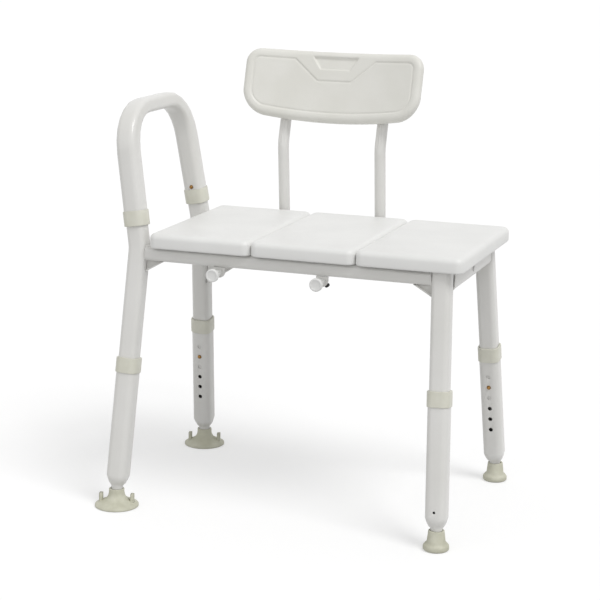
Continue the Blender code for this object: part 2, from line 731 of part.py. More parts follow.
def make_backrest_panel():
    """A curved, rounded plate with a hand grip sunk into its front at the top."""
    half = BACKREST_WIDTH / 2
    thick = BACKREST_THICKNESS / 2
    middle = backrest_middle()
    up, back = backrest_axes()
    offsets = [half * math.sin(math.radians(angle)) for angle in range(-90, 91, 9)]
    ease = BACKREST_THICKNESS * 0.3
    rings = []
    for offset in offsets:
        top, bottom = backrest_edges(offset)
        forward = sag_at(offset)
        end_ease = ease * max(0.0, 1 - (half - abs(offset)) / (2 * ease))
        corners = [
            (bottom + ease, -thick + end_ease), (top - ease, -thick + end_ease), (top, -thick + ease),
            (top, thick - ease), (top - ease, thick - end_ease), (bottom + ease, thick - end_ease),
            (bottom, thick - ease), (bottom, -thick + ease),
        ]
        centre = middle + Vector((offset, 0, 0))
        rings.append([centre + up * a + back * (b - forward) for a, b in corners])
    panel = solid_of_rings("backrest_panel", rings, WARM_PLASTIC)
    high = BACKREST_HEIGHT / 2 - GRIP_BELOW_TOP
    corners = [
        (-GRIP_TOP_WIDTH / 2, high), (GRIP_TOP_WIDTH / 2, high),
        (GRIP_BOTTOM_WIDTH / 2, high - GRIP_HEIGHT), (-GRIP_BOTTOM_WIDTH / 2, high - GRIP_HEIGHT),
    ]
    rings = []
    for depth in (-thick - 0.01, -thick + GRIP_DEPTH):
        rings.append([middle + Vector((x, 0, 0)) + up * a + back * depth for x, a in corners])
    cut(panel, solid_of_rings("backrest_grip_cutter", rings, WARM_PLASTIC, smooth=False))
    return panel


def make_backrest_post(name, x, panel):
    """A bent post, with its two screws into the panel."""
    bottom, first, second, top = post_path(x)
    path = filleted_path([bottom, first, second, top], POST_BEND_RADIUS, steps=3)
    bore = circle(POST_DIAMETER - 2 * TUBE_WALL, 16)
    post = swept(f"{name}_backrest_post", path, Vector((1, 0, 0)), circle(POST_DIAMETER, 16), bore, WHITE_PAINT)
    up, back = backrest_axes()
    level = second + up * (BACKREST_MIDDLE - second.z) / up.z
    outside = POST_DIAMETER / 2 + GAP
    tip = -POST_DIAMETER / 2 - SCREW_DEPTH
    hole_end = tip - SCREW_TIP_ROOM
    for number, offset in enumerate((-SCREW_SPACING / 2, SCREW_SPACING / 2)):
        place = level + up * offset
        hole(post, place - back * POST_DIAMETER, back, SCREW_SHANK + 2 * GAP, 2 * POST_DIAMETER)
        hole(panel, place + back * hole_end, back, SCREW_SHANK + 2 * GAP, -hole_end)
        shank = SCREW_SHANK / 2
        head = SCREW_HEAD / 2
        profile = [
            (0, tip), (shank, tip), (shank, outside), (head, outside), (head, outside + 0.0015),
            (head * 0.6, outside + 0.0035), (0, outside + 0.0038),
        ]
        turned(f"{name}_backrest_screw_{number + 1}", profile, place, back, STEEL, sides=16)


def make_socket(name, x):
    """A sleeve behind the rear rail that holds one post, with a web to the rail and a clamp boss."""
    bore = POST_DIAMETER / 2 + GAP
    outer = bore + SOCKET_WALL
    drain = POST_DIAMETER / 4
    floor_top = POST_BOTTOM - GAP
    floor_bottom = floor_top - SOCKET_FLOOR
    base = Vector((x, POST_Y, 0))
    levels = [(outer, floor_bottom), (outer, SOCKET_TOP), (bore, SOCKET_TOP), (bore, floor_top)]
    levels += [(drain, floor_top), (drain, floor_bottom)]
    axes = (Vector((1, 0, 0)), Vector((0, 1, 0)))
    rings = [placed(circle(2 * radius), base + Vector((0, 0, height)), *axes) for radius, height in levels]
    socket = solid_of_rings(f"{name}_backrest_socket", rings, WHITE_PAINT, closed=True)
    rail_back = RAIL_Y + RAIL_TUBE / 2 + GAP
    web = block(
        f"{name}_socket_web",
        (x - WEB_WIDTH / 2, rail_back, WEB_BOTTOM),
        (x + WEB_WIDTH / 2, POST_Y - bore - SOCKET_WALL / 2, SOCKET_TOP - 0.002),
        WHITE_PAINT,
    )
    cut(socket, web, "UNION")
    place = Vector((x, POST_Y, CLAMP_HEIGHT))
    outward = Vector((0, 1, 0))
    boss_end = outer + BOSS_LENGTH
    start = place + outward * (bore + SOCKET_WALL / 2)
    boss = rod(f"{name}_socket_boss", start, place + outward * boss_end, BOSS_DIAMETER, WHITE_PAINT)
    cut(socket, boss, "UNION")
    hole(socket, place, outward, CLAMP_SCREW + 2 * GAP, 0.05)
    tip = bore
    make_knob(f"rear_{name}_clamp_knob", place, outward, tip, boss_end + GAP, boss_end + GAP)


def make_knob(name, place, outward, tip, neck_start, head_start):
    """A round hand knob: screw, neck and a dished head with a rim."""
    screw = CLAMP_SCREW / 2
    neck = KNOB_NECK / 2
    head = KNOB_DIAMETER / 2
    end = head_start + KNOB_THICKNESS
    profile = [(0, tip), (screw, tip), (screw, neck_start)]
    if head_start > neck_start:
        profile += [(neck, neck_start), (neck, head_start)]
    profile += [
        (head - 0.001, head_start), (head, head_start + 0.001), (head, end - 0.001), (head - 0.001, end),
        (head - 0.003, end), (head - 0.004, end - 0.001), (0, end - 0.001),
    ]
    return turned(name, profile, place, outward, WHITE_PLASTIC)


def make_front_tab(name, x):
    """A round-ended tab under the front rail that carries a clamp knob."""
    top = RAIL_BOTTOM - GAP
    half = TAB_WIDTH / 2
    outline = [(-half, top), (half, top)]
    for step in range(9):
        angle = -step * math.pi / 8
        outline.append((half * math.cos(angle), CLAMP_HEIGHT + 0.001 + half * math.sin(angle)))
    rings = []
    for y in (TAB_Y - TAB_THICKNESS / 2, TAB_Y + TAB_THICKNESS / 2):
        rings.append([Vector((x + a, y, z)) for a, z in outline])
    tab = solid_of_rings(f"{name}_clamp_tab", rings, WHITE_PAINT, smooth=False)
    place = Vector((x, TAB_Y, CLAMP_HEIGHT))
    outward = Vector((0, -1, 0))
    hole(tab, place - outward * 0.01, outward, CLAMP_SCREW + 2 * GAP, 0.02, sides=16)
    neck_start = TAB_THICKNESS / 2 + GAP
    make_knob(f"front_{name}_clamp_knob", place, outward, -CLAMP_SCREW_END, neck_start, KNOB_STAND)


def make_stop_pin():
    """A black-capped stop on the back of the right-hand tab."""
    x = POST_X["right"] + TAB_WIDTH / 2 - STOP_DIAMETER / 2 - 0.0005
    start = Vector((x, TAB_Y + TAB_THICKNESS / 2 + GAP, CLAMP_HEIGHT - 0.0045 - STOP_DIAMETER / 2))
    radius = STOP_DIAMETER / 2
    profile = [
        (0, 0), (radius, 0), (radius, STOP_LENGTH - 0.0015), (radius * 0.6, STOP_LENGTH), (0, STOP_LENGTH)
    ]
    turned("clamp_stop", profile, start, Vector((0, 1, 0)), BLACK_RUBBER, sides=16)


def make_cross_tube_plug():
    """A round plug in the middle of the right-hand cross tube's outer face."""
    x = Leg("front", "right").at(CROSS_Z).x + UPPER_TUBE / 2 + GAP
    profile = [(0, 0), (0.006, 0), (0.006, 0.001), (0.0045, 0.0018), (0, 0.0018)]
    turned("cross_tube_plug", profile, Vector((x, 0, CROSS_Z)), Vector((1, 0, 0)), WHITE_PLASTIC, sides=16)


def centre_on_floor():
    """Moves every object so that the origin is under the middle of the whole bench's box."""
    shown = [item for item in bpy.data.objects if not item.hide_render]
    corners = [item.location + vertex.co for item in shown for vertex in item.data.vertices]
    low = [min(corner[i] for corner in corners) for i in range(3)]
    high = [max(corner[i] for corner in corners) for i in range(3)]
    shift = Vector((-(low[0] + high[0]) / 2, -(low[1] + high[1]) / 2, -low[2]))
    for item in bpy.data.objects:
        item.location += shift


def clear_scene():
    for item in list(bpy.data.objects):
        bpy.data.objects.remove(item, do_unlink=True)


clear_scene()
WHITE_PAINT = make_material("white powder coat", (0.80, 0.79, 0.77), 0.35)
WHITE_PLASTIC = make_material("white moulded plastic", (0.84, 0.84, 0.83), 0.45)
WARM_PLASTIC = make_material("warm white moulded plastic", (0.78, 0.77, 0.72), 0.45)
IVORY = make_material("ivory plastic", (0.66, 0.66, 0.55), 0.5)
IVORY_RUBBER = make_material("ivory rubber", (0.60, 0.60, 0.48), 0.6)
BRASS = make_material("brass", (0.45, 0.30, 0.15), 0.35, 1.0)
STEEL = make_material("steel", (0.60, 0.60, 0.60), 0.3, 1.0)
BLACK_RUBBER = make_material("black rubber", (0.01, 0.01, 0.01), 0.6)

legs = {}
for side, end in CORNERS:
    leg = Leg(side, end)
    legs[leg.name] = leg
    make_lower_leg(leg)
    make_collar(
        f"{leg.name}_leg_collar", leg.at, leg.across, leg.back, LOWER_LEG_TOP,
        LOWER_LEG_TOP + COLLAR_LIP - COLLAR_HEIGHT, LOWER_LEG_TOP + COLLAR_LIP, lip_on_top=True
    )
    make_foot(leg)
    make_button(f"{leg.name}_leg_button", leg.at(BUTTON_HEIGHT), leg.inward)
    make_spring(f"{leg.name}_leg_spring", leg.at(BUTTON_HEIGHT), leg.inward, leg.up)
    if end == "left":
        make_upright(leg)
    else:
        make_upper_leg(leg)
    tall = leg.name == "rear_left"
    make_gusset(
        leg, TALL_GUSSET_LENGTH if tall else GUSSET_LENGTH, TALL_GUSSET_DROP if tall else GUSSET_DROP
    )
for side in SIDES:
    make_rail(side)
for end in ENDS:
    make_cross_tube(end)
for index in range(PANEL_COUNT):
    make_seat_panel(index)
make_armrest(legs["front_left"], legs["rear_left"])
backrest_panel = make_backrest_panel()
for name, x in POST_X.items():
    make_backrest_post(name, x, backrest_panel)
    make_socket(name, x)
    make_front_tab(name, x)
make_stop_pin()
make_cross_tube_plug()
centre_on_floor()
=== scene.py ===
import json
import math

import bmesh
import bpy
import numpy as np
from mathutils import Matrix, Vector

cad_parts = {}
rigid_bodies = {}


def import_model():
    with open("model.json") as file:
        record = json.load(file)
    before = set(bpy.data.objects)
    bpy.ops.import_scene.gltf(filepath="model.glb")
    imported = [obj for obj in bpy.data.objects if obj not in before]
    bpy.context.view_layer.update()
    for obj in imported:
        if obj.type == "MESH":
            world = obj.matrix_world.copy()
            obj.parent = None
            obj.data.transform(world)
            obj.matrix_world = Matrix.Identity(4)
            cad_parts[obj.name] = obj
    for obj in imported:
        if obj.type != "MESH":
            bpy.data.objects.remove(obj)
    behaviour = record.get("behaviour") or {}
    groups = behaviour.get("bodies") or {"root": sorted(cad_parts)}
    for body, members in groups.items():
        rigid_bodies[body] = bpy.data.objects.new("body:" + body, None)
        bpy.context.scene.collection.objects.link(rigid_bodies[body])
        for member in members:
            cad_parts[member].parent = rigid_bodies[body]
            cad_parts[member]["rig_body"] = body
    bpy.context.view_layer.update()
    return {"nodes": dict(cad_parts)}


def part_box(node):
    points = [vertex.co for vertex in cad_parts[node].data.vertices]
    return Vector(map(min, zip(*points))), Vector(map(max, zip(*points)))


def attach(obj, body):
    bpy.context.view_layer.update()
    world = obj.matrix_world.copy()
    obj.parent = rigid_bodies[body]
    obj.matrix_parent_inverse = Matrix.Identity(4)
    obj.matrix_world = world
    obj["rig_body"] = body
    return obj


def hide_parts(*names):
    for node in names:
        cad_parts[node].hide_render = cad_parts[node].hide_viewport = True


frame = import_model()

print("frame loaded:", len(frame["nodes"]), "nodes")



def linearColour(hexCode):
    channels = [int(hexCode[i:i + 2], 16) / 255 for i in (1, 3, 5)]
    return [c / 12.92 if c <= 0.04045 else ((c + 0.055) / 1.055) ** 2.4 for c in channels] + [1.0]


def addNode(tree, kind, settings=None, values=None, links=None):
    node = tree.nodes.new(kind)
    for key, value in (settings or {}).items():
        setattr(node, key, value)
    for key, value in (values or {}).items():
        node.inputs[key].default_value = value
    for key, source in (links or {}).items():
        tree.links.new(source, node.inputs[key])
    return node


def emptyMaterial(name):
    material = bpy.data.materials.new(name)
    material.use_nodes = True
    material.node_tree.nodes.clear()
    return material, material.node_tree


def smoothStep(low, high, value):
    t = np.clip((value - low) / (high - low), 0, 1)
    return t * t * (3 - 2 * t)


def meshPiece(name, points, faces, material, smoothAngle=50):
    mesh = bpy.data.meshes.new(name)
    mesh.from_pydata([tuple(p) for p in points], [], faces)
    mesh.materials.append(material)
    mesh.shade_smooth()
    mesh.set_sharp_from_angle(angle=math.radians(smoothAngle))
    piece = bpy.data.objects.new(name, mesh)
    bpy.context.scene.collection.objects.link(piece)
    return piece


def unevenTint(tree, place, p):
    # the colour drifts between two close shades; gives the pattern and the colour
    pattern = addNode(tree, "ShaderNodeTexNoise",
                      values={"Scale": 1000 / p["cloudMm"], "Detail": p["cloudDetail"]},
                      links={"Vector": place.outputs["Object"]})
    tint = addNode(tree, "ShaderNodeValToRGB", links={"Fac": pattern.outputs["Fac"]})
    for stop, position, shade in zip(tint.color_ramp.elements, p["tintSpan"], ("shade", "light")):
        stop.position = position
        stop.color = linearColour(p[shade])
    return pattern.outputs["Fac"], tint.outputs["Color"]


# polyester powder coat on aluminium tube: satin, with the faint orange peel of a baked powder
powderCoat = {
    "name": "whitePowderCoat", "light": "#E1E0DD", "shade": "#DCDBD7", "cloudMm": 160.0, "cloudDetail": 3.0,
    "tintSpan": (0.35, 0.65), "roughness": 0.30, "roughnessSpread": 0.04, "peelSpan": (0.3, 0.7),
    "peelMm": 9.0,  # real peel is 1 to 2 mm, drawn coarser to show
    "peelDetail": 2.0, "peelDepth": 0.00004, "peelStrength": 0.3,
    "IOR": 1.5, "coat": 0.15, "coatRoughness": 0.15,
}


def makePowderCoat():
    p = powderCoat
    material, tree = emptyMaterial(p["name"])
    place = addNode(tree, "ShaderNodeTexCoord")
    colour = unevenTint(tree, place, p)[1]
    peel = addNode(tree, "ShaderNodeTexNoise",
                   values={"Scale": 1000 / p["peelMm"], "Detail": p["peelDetail"]},
                   links={"Vector": place.outputs["Object"]})
    gloss = addNode(tree, "ShaderNodeMapRange",
                    values={"From Min": p["peelSpan"][0], "From Max": p["peelSpan"][1],
                            "To Min": p["roughness"] - p["roughnessSpread"] / 2,
                            "To Max": p["roughness"] + p["roughnessSpread"] / 2},
                    links={"Value": peel.outputs["Fac"]})
    bump = addNode(tree, "ShaderNodeBump", values={"Strength": p["peelStrength"], "Distance": p["peelDepth"]},
                   links={"Height": peel.outputs["Fac"]})
    shader = addNode(tree, "ShaderNodeBsdfPrincipled",
                     values={"IOR": p["IOR"], "Coat Weight": p["coat"], "Coat Roughness": p["coatRoughness"]},
                     links={"Base Color": colour, "Roughness": gloss.outputs["Result"],
                            "Normal": bump.outputs["Normal"]})
    addNode(tree, "ShaderNodeOutputMaterial", links={"Surface": shader.outputs["BSDF"]})
    return material


# every moulded part: a spark-eroded mould leaves a fine grain that spreads the light
mouldedSurface = {"cloudDetail": 4.0, "tintSpan": (0.35, 0.65), "roughnessSpread": 0.08,
                  "grainSpan": (0.0, 0.8), "grainStrength": 0.4, "IOR": 1.5}
# the grain of all of these is really about 0.3 mm, drawn coarser to show
mouldedWhite = {"name": "whiteMouldedPolyethylene", "light": "#E8E8E6", "shade": "#E4E4E2",
                "roughness": 0.44, "grainMm": 1.6, "grainDepth": 0.00012, "cloudMm": 90.0}
mouldedWarm = {"name": "warmWhiteMouldedPolyethylene", "light": "#E3E2DC", "shade": "#DEDDD6",
               "roughness": 0.46, "grainMm": 1.6, "grainDepth": 0.00012, "cloudMm": 80.0}
# polypropylene collars: slightly yellowed ivory, smoother than the seat
mouldedIvory = {"name": "ivoryMouldedPolypropylene", "light": "#DBDACE", "shade": "#D4D3C5",
                "roughness": 0.40, "grainMm": 2.5, "grainDepth": 0.00006, "cloudMm": 30.0}
# thermoplastic rubber feet: matt ivory, a little mottled
rubberIvory = {"name": "ivoryMouldedRubber", "light": "#CFCEBD", "shade": "#BFBEAB",
               "roughness": 0.60, "grainMm": 2.0, "grainDepth": 0.00015, "cloudMm": 22.0}
rubberBlack = {"name": "blackMouldedRubber", "light": "#1B1B1C", "shade": "#111112",
               "roughness": 0.60, "grainMm": 1.2, "grainDepth": 0.00010, "cloudMm": 10.0}


def makeMoulded(kind):
    p = {**mouldedSurface, **kind}
    material, tree = emptyMaterial(p["name"])
    place = addNode(tree, "ShaderNodeTexCoord")
    colour = unevenTint(tree, place, p)[1]
    grain = addNode(tree, "ShaderNodeTexVoronoi", values={"Scale": 1000 / p["grainMm"]},
                    links={"Vector": place.outputs["Object"]})
    gloss = addNode(tree, "ShaderNodeMapRange",
                    values={"From Min": p["grainSpan"][0], "From Max": p["grainSpan"][1],
                            "To Min": p["roughness"] + p["roughnessSpread"] / 2,
                            "To Max": p["roughness"] - p["roughnessSpread"] / 2},
                    links={"Value": grain.outputs["Distance"]})
    bump = addNode(tree, "ShaderNodeBump",
                   values={"Strength": p["grainStrength"], "Distance": p["grainDepth"]},
                   links={"Height": grain.outputs["Distance"]})
    shader = addNode(tree, "ShaderNodeBsdfPrincipled", values={"IOR": p["IOR"]},
                     links={"Base Color": colour, "Roughness": gloss.outputs["Result"],
                            "Normal": bump.outputs["Normal"]})
    addNode(tree, "ShaderNodeOutputMaterial", links={"Surface": shader.outputs["BSDF"]})
    return material


# turned brass pins and zinc-plated screws: fine tool marks, dulled by damp
metalSurface = {"cloudMm": 3.2,  # real tool marks are about 0.8 mm apart, drawn coarser to show
                "cloudDetail": 4.0, "tintSpan": (0.3, 0.7), "smoother": 0.08, "rougher": 0.1,
                "markStrength": 0.3, "markDepth": 0.00005}
turnedBrass = {"name": "dulledTurnedBrass", "light": "#A9834F", "shade": "#7A5630", "roughness": 0.36}
zincPlate = {"name": "zincPlatedSteel", "light": "#C9CBCC", "shade": "#A4A6A8", "roughness": 0.32}


def makeTurnedMetal(kind):
    p = {**metalSurface, **kind}
    material, tree = emptyMaterial(p["name"])
    place = addNode(tree, "ShaderNodeTexCoord")
    marks, colour = unevenTint(tree, place, p)
    gloss = addNode(tree, "ShaderNodeMapRange",
                    values={"To Min": p["roughness"] - p["smoother"],
                            "To Max": p["roughness"] + p["rougher"]},
                    links={"Value": marks})
    bump = addNode(tree, "ShaderNodeBump", values={"Strength": p["markStrength"], "Distance": p["markDepth"]},
                   links={"Height": marks})
    shader = addNode(tree, "ShaderNodeBsdfPrincipled", values={"Metallic": 1.0},
                     links={"Base Color": colour, "Roughness": gloss.outputs["Result"],
                            "Normal": bump.outputs["Normal"]})
    addNode(tree, "ShaderNodeOutputMaterial", links={"Surface": shader.outputs["BSDF"]})
    return material


finishes = {
    "white_paint": makePowderCoat(),
    "white_plastic": makeMoulded(mouldedWhite),
    "warm_white_plastic": makeMoulded(mouldedWarm),
    "ivory_plastic": makeMoulded(mouldedIvory),
    "ivory_rubber": makeMoulded(rubberIvory),
    "black_rubber": makeMoulded(rubberBlack),
    "brass": makeTurnedMetal(turnedBrass),
    "zinc_steel": makeTurnedMetal(zincPlate),
}
print("materials made:", len(finishes))


bodyOf = {nodeName: node["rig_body"] for nodeName, node in frame["nodes"].items()}
slotOf = {nodeName: node.data.materials[0].name for nodeName, node in frame["nodes"].items()}

# frame tubes, collars, feet and fittings: each welded into one smooth skin
skins = {"weldDistance": 0.00002, "smoothAngle": 50, "flatness": 80,
         "madeElsewhere": ("seat_panel_1", "seat_panel_2", "seat_panel_3", "backrest_panel",
                           "left_backrest_post", "right_backrest_post"),
         "leftAsTheyAre": "_spring"}


def makeSkin(nodeName):
    shape = bmesh.new()
    shape.from_mesh(frame["nodes"][nodeName].data)
    bmesh.ops.remove_doubles(shape, verts=shape.verts, dist=skins["weldDistance"])
    mesh = bpy.data.meshes.new(nodeName + "_skin")
    shape.to_mesh(mesh)
    shape.free()
    mesh.materials.append(finishes[slotOf[nodeName]])
    mesh.shade_smooth()
    mesh.set_sharp_from_angle(angle=math.radians(skins["smoothAngle"]))
    piece = bpy.data.objects.new(nodeName + "_skin", mesh)
    bpy.context.scene.collection.objects.link(piece)
    even = piece.modifiers.new("flatsStayFlat", "WEIGHTED_NORMAL")
    even.keep_sharp = True
    even.weight = skins["flatness"]
    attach(piece, bodyOf[nodeName])
    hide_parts(nodeName)


for nodeName in sorted(frame["nodes"]):
    if nodeName in skins["madeElsewhere"]:
        continue
    if nodeName.endswith(skins["leftAsTheyAre"]):
        frame["nodes"][nodeName].material_slots[0].material = finishes[slotOf[nodeName]]
        continue
    makeSkin(nodeName)
print("skins made")


# seat: three moulded trays with soft edges, faint raised dots on top and a grid of ribs underneath
seatTrays = {
    "corner": 0.015, "topEase": 0.010, "bottomEase": 0.0034, "wall": 0.004, "skin": 0.005, "rib": 0.004,
    "ribInset": 0.0006, "ribBite": 0.001, "columns": 3, "rows": 5, "easeSteps": 6, "cornerSteps": 8,
    "crown": 0.0004, "crownInset": 0.010, "dotPitch": 0.038, "dotRadius": 0.0026, "dotHeight": 0.00035,
    "dotSides": 12, "dotMargin": 0.032, "dotShoulder": (0.7, 0.75), "smoothAngle": 40,
}


def trayOutline(low, high, inset, radius):
    steps = seatTrays["cornerSteps"]
    middle, half = (low + high) / 2, (high - low) / 2
    outline = []
    for corner, (sx, sy) in enumerate(((1, 1), (-1, 1), (-1, -1), (1, -1))):
        for step in range(steps + 1):
            angle = (corner + step / steps) * math.pi / 2
            outline.append((middle.x + sx * (half.x - inset - radius) + radius * math.cos(angle),
                            middle.y + sy * (half.y - inset - radius) + radius * math.sin(angle)))
    return outline


def addBlock(points, faces, low, high):
    first = len(points)
    points += [(x, y, z) for z in (low[2], high[2]) for y in (low[1], high[1]) for x in (low[0], high[0])]
    for face in ((0, 2, 3, 1), (4, 5, 7, 6), (0, 1, 5, 4), (2, 6, 7, 3), (0, 4, 6, 2), (1, 3, 7, 5)):
        faces.append(tuple(first + i for i in face))


def makeSeatTray(nodeName):
    t = seatTrays
    low, high = (Vector(corner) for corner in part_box(nodeName))
    ceiling = high.z - t["skin"]
    insideRadius = t["corner"] - t["wall"]
    levels = [(t["wall"], insideRadius, ceiling), (t["wall"], insideRadius, low.z)]
    for step in range(t["easeSteps"] + 1):
        turn = step / t["easeSteps"] * math.pi / 2
        inset = t["bottomEase"] * (1 - math.sin(turn))
        levels.append((inset, t["corner"] - inset, low.z + t["bottomEase"] * (1 - math.cos(turn))))
    for step in range(t["easeSteps"] + 1):
        turn = step / t["easeSteps"] * math.pi / 2
        inset = t["topEase"] * (1 - math.cos(turn))
        levels.append((inset, t["corner"] - inset, high.z - t["crown"] - t["topEase"] * (1 - math.sin(turn))))
    levels.append((t["topEase"] + t["crownInset"], t["corner"] - t["topEase"], high.z))
    points, faces = [], []
    for inset, radius, height in levels:
        points += [(x, y, height) for x, y in trayOutline(low, high, inset, radius)]
    around = len(points) // len(levels)
    for level in range(len(levels) - 1):
        for i in range(around):
            a, c = level * around, (level + 1) * around
            j = (i + 1) % around
            faces.append((a + i, a + j, c + j, c + i))
    faces.append(tuple(reversed(range(around))))
    faces.append(tuple(range(len(points) - around, len(points))))
    size = high - low
    span = [size[i] - 2 * t["wall"] + t["rib"] for i in range(2)]
    foot, top = low.z + t["ribInset"], ceiling + t["ribBite"]
    edge = t["wall"] - t["ribBite"]
    for column in range(1, t["columns"]):
        x = low.x + t["wall"] + column * span[0] / t["columns"]
        addBlock(points, faces, (x - t["rib"], low.y + edge, foot), (x, high.y - edge, top))
    for row in range(1, t["rows"]):
        y = low.y + t["wall"] + row * span[1] / t["rows"]
        addBlock(points, faces, (low.x + edge, y - t["rib"], foot), (high.x - edge, y, top))
    addDots(points, faces, low, high)
    piece = meshPiece(nodeName + "_tray", points, faces, finishes["white_plastic"], t["smoothAngle"])
    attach(piece, bodyOf[nodeName])
    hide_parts(nodeName)


def addDots(points, faces, low, high):
    # low domes that stand on the tray's skin, each closed by a foot sunk into it
    t = seatTrays
    counts = [int((high[i] - low[i] - 2 * t["dotMargin"]) / t["dotPitch"]) for i in range(2)]
    middle = (low + high) / 2
    sides = t["dotSides"]
    shoulderShare, shoulderRise = t["dotShoulder"]
    for column in range(counts[0] + 1):
        for row in range(counts[1] + 1):
            x = middle.x + (column - counts[0] / 2) * t["dotPitch"]
            y = middle.y + (row - counts[1] / 2) * t["dotPitch"]
            first = len(points)
            for share, height in ((1.0, -t["ribBite"]), (1.0, 0.0),
                                  (shoulderShare, shoulderRise * t["dotHeight"])):
                for i in range(sides):
                    turn = 2 * math.pi * i / sides
                    radius = t["dotRadius"] * share
                    points.append((x + radius * math.cos(turn), y + radius * math.sin(turn), high.z + height))
            points.append((x, y, high.z + t["dotHeight"]))
            foot, shoulder, crown = first + sides, first + 2 * sides, first + 3 * sides
            for i in range(sides):
                j = (i + 1) % sides
                faces.append((first + i, first + j, foot + j, foot + i))
                faces.append((foot + i, foot + j, shoulder + j, shoulder + i))
                faces.append((shoulder + i, shoulder + j, crown))
            faces.append(tuple(reversed(range(first, first + sides))))


for number in (1, 2, 3):
    makeSeatTray("seat_panel_" + str(number))
print("seat trays made")


# weld beads where a rail or a cross tube meets a leg
beads = {"radius": 0.0014, "ripple": 0.00022, "rippleMm": 3.5, "sides": 8, "step": 0.0009, "sunk": 0.0003,
         "endFacing": 0.8, "smoothAngle": 180,
         "tubes": ("front_rail", "rear_rail", "left_cross_tube", "right_cross_tube")}


def endOutlines(nodeName):
    # the outer outline of the tube at each of its two ends, as a closed row of points
    shape = bmesh.new()
    shape.from_mesh(frame["nodes"][nodeName].data)
    bmesh.ops.remove_doubles(shape, verts=shape.verts, dist=skins["weldDistance"])
    spans = [[pick(v.co[i] for v in shape.verts) for pick in (min, max)] for i in range(3)]
    axis = max(range(3), key=lambda i: spans[i][1] - spans[i][0])
    middle = Vector([sum(span) / 2 for span in spans])
    outlines = []
    for way in (-1, 1):
        caps = {f for f in shape.faces if f.normal[axis] * way > beads["endFacing"]
                and (f.calc_center_median() - middle)[axis] * way > 0}
        edges = [e for f in caps for e in f.edges if sum(g in caps for g in e.link_faces) == 1]
        follows = {}
        for e in edges:
            for a, c in (e.verts, reversed(e.verts)):
                follows.setdefault(a, []).append(c)
        loops = []
        while follows:
            start = next(iter(follows))
            loop, now, last = [], start, None
            while now in follows:
                nexts = follows.pop(now)
                loop.append(now.co.copy())
                onward = [v for v in nexts if v is not last and v in follows]
                last, now = now, (onward or nexts)[0]
            loops.append(loop)
        size = [max((p - q).length for p in loop for q in loop) for loop in loops]
        outlines.append(loops[size.index(max(size))])
    shape.free()
    return outlines


def makeBeads(nodeName):
    b = beads
    points, faces = [], []
    for loop in endOutlines(nodeName):
        centre = sum(loop, Vector()) / len(loop)
        path = []
        for here, there in zip(loop, loop[1:] + loop[:1]):
            count = max(1, round((there - here).length / b["step"]))
            path += [here.lerp(there, i / count) for i in range(count)]
        walked, first = 0.0, len(points)
        for number, place in enumerate(path):
            along = (path[(number + 1) % len(path)] - path[number - 1]).normalized()
            outward = (place - centre) - along * (place - centre).dot(along)
            outward.normalize()
            sideways = along.cross(outward)
            walked += (place - path[number - 1]).length
            radius = b["radius"] + b["ripple"] * math.sin(2 * math.pi * walked * 1000 / b["rippleMm"])
            for i in range(b["sides"]):
                turn = 2 * math.pi * i / b["sides"]
                points.append(place - outward * b["sunk"]
                              + (outward * math.cos(turn) + sideways * math.sin(turn)) * radius)
        rings, sides = len(path), b["sides"]
        for r in range(rings):
            for i in range(sides):
                a, c = first + r * sides, first + (r + 1) % rings * sides
                j = (i + 1) % sides
                faces.append((a + i, a + j, c + j, c + i))
    piece = meshPiece(nodeName + "_welds", points, faces, finishes["white_paint"], b["smoothAngle"])
    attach(piece, bodyOf[nodeName])


for nodeName in beads["tubes"]:
    makeBeads(nodeName)
print("weld beads made")


# backrest: a moulded shell with a sunk border line and a hand grip
backrest = {
    "centre": (-0.02170, 0.19354, 0.75009), "leanDeg": 17.0, "width": 0.357, "height": 0.138,
    "thickness": 0.022, "sag": 0.022, "topRadius": 0.030, "bottomRadius": 0.044,
    "crown": 0.001, "bow": 0.0125,
    "frontEdge": 0.0120, "backEdge": 0.0080,  # edge roundings
    "border": 0.0180, "lineWidth": 0.0017, "lineDepth": 0.0013, "fieldDrop": 0.0007,
    "tabTop": 0.082, "tabBottom": 0.034, "tabHigh": 0.0510, "tabLow": 0.0105,  # the line's dip
    "gripTop": 0.0500, "gripBottom": 0.0300, "gripHigh": 0.0600, "gripLow": 0.0315, "gripDepth": 0.0050,
    "gripWall": 0.0030, "gripCeiling": 0.0075,
    "gripShallow": 0.35,  # depth at its foot, as a share of the full depth
    "step": 0.0012, "edgeSteps": 10, "edgeAcross": 0.012, "edgeUp": 0.011, "outlineSteps": 140,
    "smoothAngle": 60,
    "openTop": 1.0,  # the dip's sides run on this far up, so that it has no top line
}


def edgeHeights(offset):
    b = backrest
    half = b["width"] / 2
    along = np.abs(offset)
    top = b["height"] / 2 - b["crown"] * (along / half) ** 2
    bottom = -b["height"] / 2 + b["bow"] * (along / half) ** 2
    intoTop = np.maximum(0, along - (half - b["topRadius"]))
    intoBottom = np.maximum(0, along - (half - b["bottomRadius"]))
    top = top - b["topRadius"] + np.sqrt(np.maximum(0, b["topRadius"] ** 2 - intoTop ** 2))
    bottom = bottom + b["bottomRadius"] - np.sqrt(np.maximum(0, b["bottomRadius"] ** 2 - intoBottom ** 2))
    return top, bottom


def stationsAcross(length, step, edge, edgeSteps):
    # shares of the length from 0 to 1, close together in the rounded edge at each end
    near = [edge * (i / edgeSteps) ** 2 for i in range(edgeSteps)]
    count = max(2, round((length - 2 * edge) / step))
    middle = [edge + (length - 2 * edge) * i / count for i in range(count + 1)]
    far = [length - x for x in reversed(near)]
    return np.array(near + middle + far) / length


def distanceToLoop(points, loop):
    best = np.full(len(points), 1e9)
    for start, end in zip(loop, np.roll(loop, -1, axis=0)):
        run = end - start
        share = np.clip(((points - start) @ run) / max(run @ run, 1e-15), 0, 1)
        best = np.minimum(best, np.linalg.norm(points - start - share[:, None] * run, axis=1))
    return best


